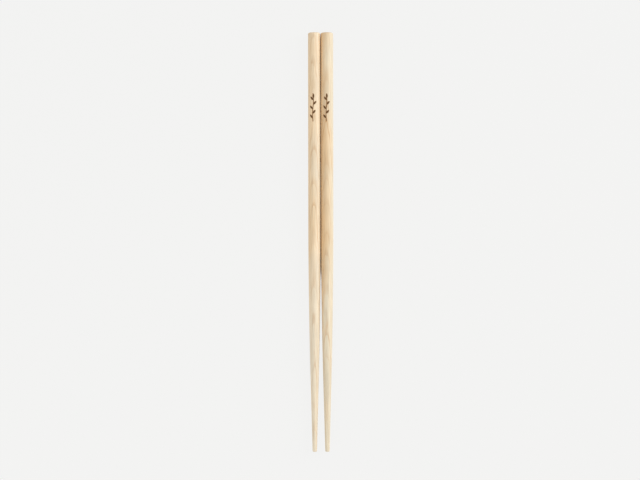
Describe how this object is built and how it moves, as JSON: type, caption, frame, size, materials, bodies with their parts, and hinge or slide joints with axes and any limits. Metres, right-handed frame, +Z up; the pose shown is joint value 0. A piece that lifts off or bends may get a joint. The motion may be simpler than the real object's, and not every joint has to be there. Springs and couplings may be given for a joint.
{
  "type": "pair of wooden chopsticks",
  "caption": "Round turned wooden chopsticks with straight shanks that taper to slim blunt tips, lying side by side, for picking up food.",
  "frame": {"origin": "on the surface that the pair lies on, midway between the sticks and midway along them", "axes": "+Y along the sticks towards the butt ends, +Z up, +X from the left stick to the right one"},
  "size_m": [0.0138, 0.23, 0.0068],
  "materials": {
    "cypress_wood": "turned and sanded smooth, bare pale softwood with fine lengthwise grain"
  },
  "bodies": {
    "root": {"left_chopstick": "cypress_wood", "right_chopstick": "cypress_wood"}
  },
  "joints": []
}
